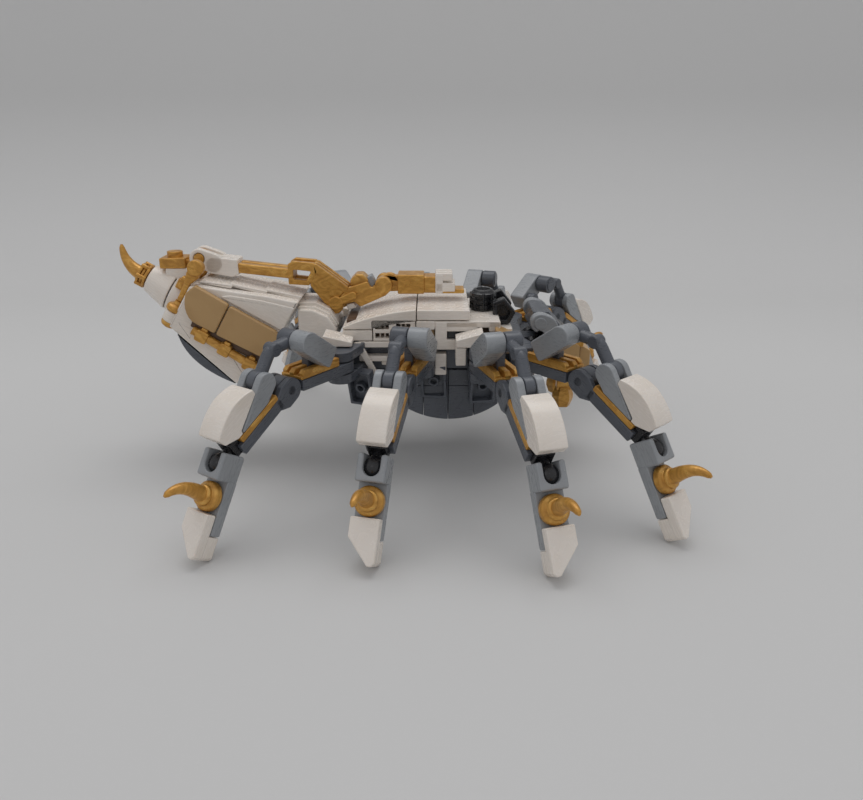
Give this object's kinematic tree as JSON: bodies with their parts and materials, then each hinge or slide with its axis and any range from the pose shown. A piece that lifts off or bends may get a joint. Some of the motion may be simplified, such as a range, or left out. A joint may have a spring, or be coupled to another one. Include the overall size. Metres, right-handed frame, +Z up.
{
  "type": "eight-legged spider robot",
  "caption": "Eight-legged spider robot built from studded bricks: folding legs with clawed feet, raised abdomen with a horn, arm over the back, and a head with jaws.",
  "frame": {"origin": "on the floor, under the middle of the overall length and width", "axes": "+X to the head, +Y to the robot's left, +Z up"},
  "size_m": [0.1689, 0.172, 0.0698],
  "materials": {
    "white": "smooth moulded plastic, glossy",
    "light_grey": "smooth moulded plastic, glossy",
    "dark_grey": "smooth moulded plastic, satin",
    "black": "smooth moulded plastic, glossy",
    "tan": "smooth moulded plastic, satin",
    "gold": "pearlescent moulded plastic with a fine flow pattern",
    "silver": "metal-coloured moulded plastic"
  },
  "bodies": {
    "chassis": {"chassis": "dark_grey", "hull": "dark_grey", "back_shell": "white", "back_tile": "white", "turret": "black"},
    "abdomen": {"abdomen_shell": "white", "abdomen_keel": "dark_grey", "side_plate_left": "tan", "side_plate_right": "tan", "tail_cap": "white", "tail_horn": "gold"},
    "boom": {"boom": "gold"},
    "arm_link": {"arm_link": "gold"},
    "gripper": {"gripper": "gold"},
    "head": {"head": "black", "face_plate": "tan"},
    "jaw_left": {"jaw_left": "light_grey"},
    "fang_left": {"fang_left": "gold"},
    "jaw_right": {"jaw_right": "light_grey"},
    "fang_right": {"fang_right": "gold"},
    "leg_r1_femur": {"leg_r1_femur": "dark_grey"},
    "leg_r1_strut": {"leg_r1_strut": "light_grey"},
    "leg_r1_link": {"leg_r1_link": "dark_grey"},
    "leg_r1_shin": {"leg_r1_shin": "white"},
    "leg_r1_foot": {"leg_r1_foot": "light_grey"},
    "leg_r2_femur": {"leg_r2_femur": "dark_grey"},
    "leg_r2_strut": {"leg_r2_strut": "light_grey"},
    "leg_r2_link": {"leg_r2_link": "dark_grey"},
    "leg_r2_shin": {"leg_r2_shin": "white"},
    "leg_r2_foot": {"leg_r2_foot": "light_grey"},
    "leg_r3_femur": {"leg_r3_femur": "dark_grey"},
    "leg_r3_strut": {"leg_r3_strut": "light_grey"},
    "leg_r3_link": {"leg_r3_link": "dark_grey"},
    "leg_r3_shin": {"leg_r3_shin": "white"},
    "leg_r3_foot": {"leg_r3_foot": "light_grey"},
    "leg_r4_femur": {"leg_r4_femur": "dark_grey"},
    "leg_r4_strut": {"leg_r4_strut": "light_grey"},
    "leg_r4_link": {"leg_r4_link": "dark_grey"},
    "leg_r4_shin": {"leg_r4_shin": "white"},
    "leg_r4_foot": {"leg_r4_foot": "light_grey"},
    "leg_l1_femur": {"leg_l1_femur": "dark_grey"},
    "leg_l1_strut": {"leg_l1_strut": "light_grey"},
    "leg_l1_link": {"leg_l1_link": "dark_grey"},
    "leg_l1_shin": {"leg_l1_shin": "white"},
    "leg_l1_foot": {"leg_l1_foot": "light_grey"},
    "leg_l2_femur": {"leg_l2_femur": "dark_grey"},
    "leg_l2_strut": {"leg_l2_strut": "light_grey"},
    "leg_l2_link": {"leg_l2_link": "dark_grey"},
    "leg_l2_shin": {"leg_l2_shin": "white"},
    "leg_l2_foot": {"leg_l2_foot": "light_grey"},
    "leg_l3_femur": {"leg_l3_femur": "dark_grey"},
    "leg_l3_strut": {"leg_l3_strut": "light_grey"},
    "leg_l3_link": {"leg_l3_link": "dark_grey"},
    "leg_l3_shin": {"leg_l3_shin": "white"},
    "leg_l3_foot": {"leg_l3_foot": "light_grey"},
    "leg_l4_femur": {"leg_l4_femur": "dark_grey"},
    "leg_l4_strut": {"leg_l4_strut": "light_grey"},
    "leg_l4_link": {"leg_l4_link": "dark_grey"},
    "leg_l4_shin": {"leg_l4_shin": "white"},
    "leg_l4_foot": {"leg_l4_foot": "light_grey"}
  },
  "joints": [
    {"name": "waist_tilt", "type": "hinge", "parent": "chassis", "child": "abdomen", "pos_m": [-0.0264, 0, 0.036], "axis": [0, 1, 0], "range_deg": [-12, 0]},
    {"name": "boom_lift", "type": "hinge", "parent": "abdomen", "child": "boom", "pos_m": [-0.0602, 0, 0.065], "axis": [0, 1, 0], "range_deg": [-35, 0]},
    {"name": "arm_link_lift", "type": "hinge", "parent": "boom", "child": "arm_link", "pos_m": [-0.0189, 0, 0.0502], "axis": [0, 1, 0], "range_deg": [-34, 0]},
    {"name": "gripper_lift", "type": "hinge", "parent": "arm_link", "child": "gripper", "pos_m": [-0.0034, 0, 0.0566], "axis": [0, 1, 0], "range_deg": [-40, 0]},
    {"name": "neck_tilt", "type": "hinge", "parent": "chassis", "child": "head", "pos_m": [0.0446, 0, 0.0375], "axis": [0, 1, 0], "range_deg": [-8, 8]},
    {"name": "jaw_left_swing", "type": "hinge", "parent": "head", "child": "jaw_left", "pos_m": [0.0451, 0.0101, 0.0465], "axis": [0, 1, 0], "range_deg": [-20, 10]},
    {"name": "jaw_right_swing", "type": "hinge", "parent": "head", "child": "jaw_right", "pos_m": [0.0451, -0.0101, 0.0465], "axis": [0, 1, 0], "range_deg": [-20, 10]},
    {"name": "fang_left_swing", "type": "hinge", "parent": "head", "child": "fang_left", "pos_m": [0.0542, 0.0066, 0.0282], "axis": [0, 1, 0], "range_deg": [-25, 25]},
    {"name": "fang_right_swing", "type": "hinge", "parent": "head", "child": "fang_right", "pos_m": [0.0542, -0.0066, 0.0282], "axis": [0, 1, 0], "range_deg": [-25, 25]},
    {"name": "leg_r1_hip", "type": "hinge", "parent": "chassis", "child": "leg_r1_femur", "pos_m": [0.0391, -0.0185, 0.037], "axis": [0, 0, 1], "range_deg": [-12, 12]},
    {"name": "leg_r2_hip", "type": "hinge", "parent": "chassis", "child": "leg_r2_femur", "pos_m": [0.0266, -0.024, 0.037], "axis": [0, 0, 1], "range_deg": [-12, 12]},
    {"name": "leg_r3_hip", "type": "hinge", "parent": "chassis", "child": "leg_r3_femur", "pos_m": [0.0086, -0.019, 0.037], "axis": [0, 0, 1], "range_deg": [-12, 12]},
    {"name": "leg_r4_hip", "type": "hinge", "parent": "chassis", "child": "leg_r4_femur", "pos_m": [-0.0154, -0.024, 0.037], "axis": [0, 0, 1], "range_deg": [-12, 12]},
    {"name": "leg_l1_hip", "type": "hinge", "parent": "chassis", "child": "leg_l1_femur", "pos_m": [0.0391, 0.0185, 0.037], "axis": [0, 0, 1], "range_deg": [-12, 12]},
    {"name": "leg_l2_hip", "type": "hinge", "parent": "chassis", "child": "leg_l2_femur", "pos_m": [0.0266, 0.024, 0.037], "axis": [0, 0, 1], "range_deg": [-12, 12]},
    {"name": "leg_l3_hip", "type": "hinge", "parent": "chassis", "child": "leg_l3_femur", "pos_m": [0.0086, 0.019, 0.037], "axis": [0, 0, 1], "range_deg": [-12, 12]},
    {"name": "leg_l4_hip", "type": "hinge", "parent": "chassis", "child": "leg_l4_femur", "pos_m": [-0.0154, 0.024, 0.037], "axis": [0, 0, 1], "range_deg": [-12, 12]},
    {"name": "leg_r1_knee", "type": "hinge", "parent": "leg_r1_femur", "child": "leg_r1_shin", "pos_m": [0.05516, -0.03633, 0.037], "axis": [0.7431, 0.6691, 0], "range_deg": [-15, 25]},
    {"name": "leg_r2_knee", "type": "hinge", "parent": "leg_r2_femur", "child": "leg_r2_shin", "pos_m": [0.03362, -0.04695, 0.037], "axis": [0.9563, 0.2924, 0], "range_deg": [-15, 25]},
    {"name": "leg_r3_knee", "type": "hinge", "parent": "leg_r3_femur", "child": "leg_r3_shin", "pos_m": [0.00279, -0.04229, 0.037], "axis": [0.9703, -0.2419, 0], "range_deg": [-15, 25]},
    {"name": "leg_r4_knee", "type": "hinge", "parent": "leg_r4_femur", "child": "leg_r4_shin", "pos_m": [-0.02917, -0.04366, 0.037], "axis": [0.8192, -0.5736, 0], "range_deg": [-15, 25]},
    {"name": "leg_l1_knee", "type": "hinge", "parent": "leg_l1_femur", "child": "leg_l1_shin", "pos_m": [0.05516, 0.03633, 0.037], "axis": [-0.7431, 0.6691, 0], "range_deg": [-15, 25]},
    {"name": "leg_l2_knee", "type": "hinge", "parent": "leg_l2_femur", "child": "leg_l2_shin", "pos_m": [0.03362, 0.04695, 0.037], "axis": [-0.9563, 0.2924, 0], "range_deg": [-15, 25]},
    {"name": "leg_l3_knee", "type": "hinge", "parent": "leg_l3_femur", "child": "leg_l3_shin", "pos_m": [0.00279, 0.04229, 0.037], "axis": [-0.9703, -0.2419, 0], "range_deg": [-15, 25]},
    {"name": "leg_l4_knee", "type": "hinge", "parent": "leg_l4_femur", "child": "leg_l4_shin", "pos_m": [-0.02917, 0.04366, 0.037], "axis": [-0.8192, -0.5736, 0], "range_deg": [-15, 25]},
    {"name": "leg_r1_ankle", "type": "hinge", "parent": "leg_r1_shin", "child": "leg_r1_foot", "pos_m": [0.07064, -0.05353, 0.02309], "axis": [0.7431, 0.6691, 0], "range_deg": [-20, 20]},
    {"name": "leg_r2_ankle", "type": "hinge", "parent": "leg_r2_shin", "child": "leg_r2_foot", "pos_m": [0.04038, -0.06908, 0.02309], "axis": [0.9563, 0.2924, 0], "range_deg": [-20, 20]},
    {"name": "leg_r3_ankle", "type": "hinge", "parent": "leg_r3_shin", "child": "leg_r3_foot", "pos_m": [-0.00281, -0.06474, 0.02309], "axis": [0.9703, -0.2419, 0], "range_deg": [-20, 20]},
    {"name": "leg_r4_ankle", "type": "hinge", "parent": "leg_r4_shin", "child": "leg_r4_foot", "pos_m": [-0.04244, -0.06262, 0.02309], "axis": [0.8192, -0.5736, 0], "range_deg": [-20, 20]},
    {"name": "leg_l1_ankle", "type": "hinge", "parent": "leg_l1_shin", "child": "leg_l1_foot", "pos_m": [0.07064, 0.05353, 0.02309], "axis": [-0.7431, 0.6691, 0], "range_deg": [-20, 20]},
    {"name": "leg_l2_ankle", "type": "hinge", "parent": "leg_l2_shin", "child": "leg_l2_foot", "pos_m": [0.04038, 0.06908, 0.02309], "axis": [-0.9563, 0.2924, 0], "range_deg": [-20, 20]},
    {"name": "leg_l3_ankle", "type": "hinge", "parent": "leg_l3_shin", "child": "leg_l3_foot", "pos_m": [-0.00281, 0.06474, 0.02309], "axis": [-0.9703, -0.2419, 0], "range_deg": [-20, 20]},
    {"name": "leg_l4_ankle", "type": "hinge", "parent": "leg_l4_shin", "child": "leg_l4_foot", "pos_m": [-0.04244, 0.06262, 0.02309], "axis": [-0.8192, -0.5736, 0], "range_deg": [-20, 20]},
    {"name": "leg_r1_strut_turn", "type": "hinge", "parent": "leg_r1_femur", "child": "leg_r1_strut", "pos_m": [0.04753, -0.02786, 0.0448], "axis": [0.7431, 0.6691, 0], "range_deg": [-20, 30]},
    {"name": "leg_r1_link_turn", "type": "hinge", "parent": "leg_r1_strut", "child": "leg_r1_link", "pos_m": [0.05181, -0.03262, 0.0494], "axis": [0.7431, 0.6691, 0], "range_deg": [-25, 20]},
    {"name": "leg_r2_strut_turn", "type": "hinge", "parent": "leg_r2_femur", "child": "leg_r2_strut", "pos_m": [0.03028, -0.03605, 0.0448], "axis": [0.9563, 0.2924, 0], "range_deg": [-20, 30]},
    {"name": "leg_r2_link_turn", "type": "hinge", "parent": "leg_r2_strut", "child": "leg_r2_link", "pos_m": [0.03216, -0.04217, 0.0494], "axis": [0.9563, 0.2924, 0], "range_deg": [-25, 20]},
    {"name": "leg_r3_strut_turn", "type": "hinge", "parent": "leg_r3_femur", "child": "leg_r3_strut", "pos_m": [0.00555, -0.03123, 0.0448], "axis": [0.9703, -0.2419, 0], "range_deg": [-20, 30]},
    {"name": "leg_r3_link_turn", "type": "hinge", "parent": "leg_r3_strut", "child": "leg_r3_link", "pos_m": [0.004, -0.03744, 0.0494], "axis": [0.9703, -0.2419, 0], "range_deg": [-25, 20]},
    {"name": "leg_r4_strut_turn", "type": "hinge", "parent": "leg_r4_femur", "child": "leg_r4_strut", "pos_m": [-0.02263, -0.03432, 0.0448], "axis": [0.8192, -0.5736, 0], "range_deg": [-20, 30]},
    {"name": "leg_r4_link_turn", "type": "hinge", "parent": "leg_r4_strut", "child": "leg_r4_link", "pos_m": [-0.0263, -0.03956, 0.0494], "axis": [0.8192, -0.5736, 0], "range_deg": [-25, 20]},
    {"name": "leg_l1_strut_turn", "type": "hinge", "parent": "leg_l1_femur", "child": "leg_l1_strut", "pos_m": [0.04753, 0.02786, 0.0448], "axis": [-0.7431, 0.6691, 0], "range_deg": [-20, 30]},
    {"name": "leg_l1_link_turn", "type": "hinge", "parent": "leg_l1_strut", "child": "leg_l1_link", "pos_m": [0.05181, 0.03262, 0.0494], "axis": [-0.7431, 0.6691, 0], "range_deg": [-25, 20]},
    {"name": "leg_l2_strut_turn", "type": "hinge", "parent": "leg_l2_femur", "child": "leg_l2_strut", "pos_m": [0.03028, 0.03605, 0.0448], "axis": [-0.9563, 0.2924, 0], "range_deg": [-20, 30]},
    {"name": "leg_l2_link_turn", "type": "hinge", "parent": "leg_l2_strut", "child": "leg_l2_link", "pos_m": [0.03216, 0.04217, 0.0494], "axis": [-0.9563, 0.2924, 0], "range_deg": [-25, 20]},
    {"name": "leg_l3_strut_turn", "type": "hinge", "parent": "leg_l3_femur", "child": "leg_l3_strut", "pos_m": [0.00555, 0.03123, 0.0448], "axis": [-0.9703, -0.2419, 0], "range_deg": [-20, 30]},
    {"name": "leg_l3_link_turn", "type": "hinge", "parent": "leg_l3_strut", "child": "leg_l3_link", "pos_m": [0.004, 0.03744, 0.0494], "axis": [-0.9703, -0.2419, 0], "range_deg": [-25, 20]},
    {"name": "leg_l4_strut_turn", "type": "hinge", "parent": "leg_l4_femur", "child": "leg_l4_strut", "pos_m": [-0.02263, 0.03432, 0.0448], "axis": [-0.8192, -0.5736, 0], "range_deg": [-20, 30]},
    {"name": "leg_l4_link_turn", "type": "hinge", "parent": "leg_l4_strut", "child": "leg_l4_link", "pos_m": [-0.0263, 0.03956, 0.0494], "axis": [-0.8192, -0.5736, 0], "range_deg": [-25, 20]}
  ],
  "couplings": [
    {"joint": "leg_r1_strut_turn", "follows": "leg_r1_knee", "ratio": 1.08},
    {"joint": "leg_r1_link_turn", "follows": "leg_r1_knee", "ratio": -0.98},
    {"joint": "leg_r2_strut_turn", "follows": "leg_r2_knee", "ratio": 1.08},
    {"joint": "leg_r2_link_turn", "follows": "leg_r2_knee", "ratio": -0.98},
    {"joint": "leg_r3_strut_turn", "follows": "leg_r3_knee", "ratio": 1.08},
    {"joint": "leg_r3_link_turn", "follows": "leg_r3_knee", "ratio": -0.98},
    {"joint": "leg_r4_strut_turn", "follows": "leg_r4_knee", "ratio": 1.08},
    {"joint": "leg_r4_link_turn", "follows": "leg_r4_knee", "ratio": -0.98},
    {"joint": "leg_l1_strut_turn", "follows": "leg_l1_knee", "ratio": 1.08},
    {"joint": "leg_l1_link_turn", "follows": "leg_l1_knee", "ratio": -0.98},
    {"joint": "leg_l2_strut_turn", "follows": "leg_l2_knee", "ratio": 1.08},
    {"joint": "leg_l2_link_turn", "follows": "leg_l2_knee", "ratio": -0.98},
    {"joint": "leg_l3_strut_turn", "follows": "leg_l3_knee", "ratio": 1.08},
    {"joint": "leg_l3_link_turn", "follows": "leg_l3_knee", "ratio": -0.98},
    {"joint": "leg_l4_strut_turn", "follows": "leg_l4_knee", "ratio": 1.08},
    {"joint": "leg_l4_link_turn", "follows": "leg_l4_knee", "ratio": -0.98}
  ]
}
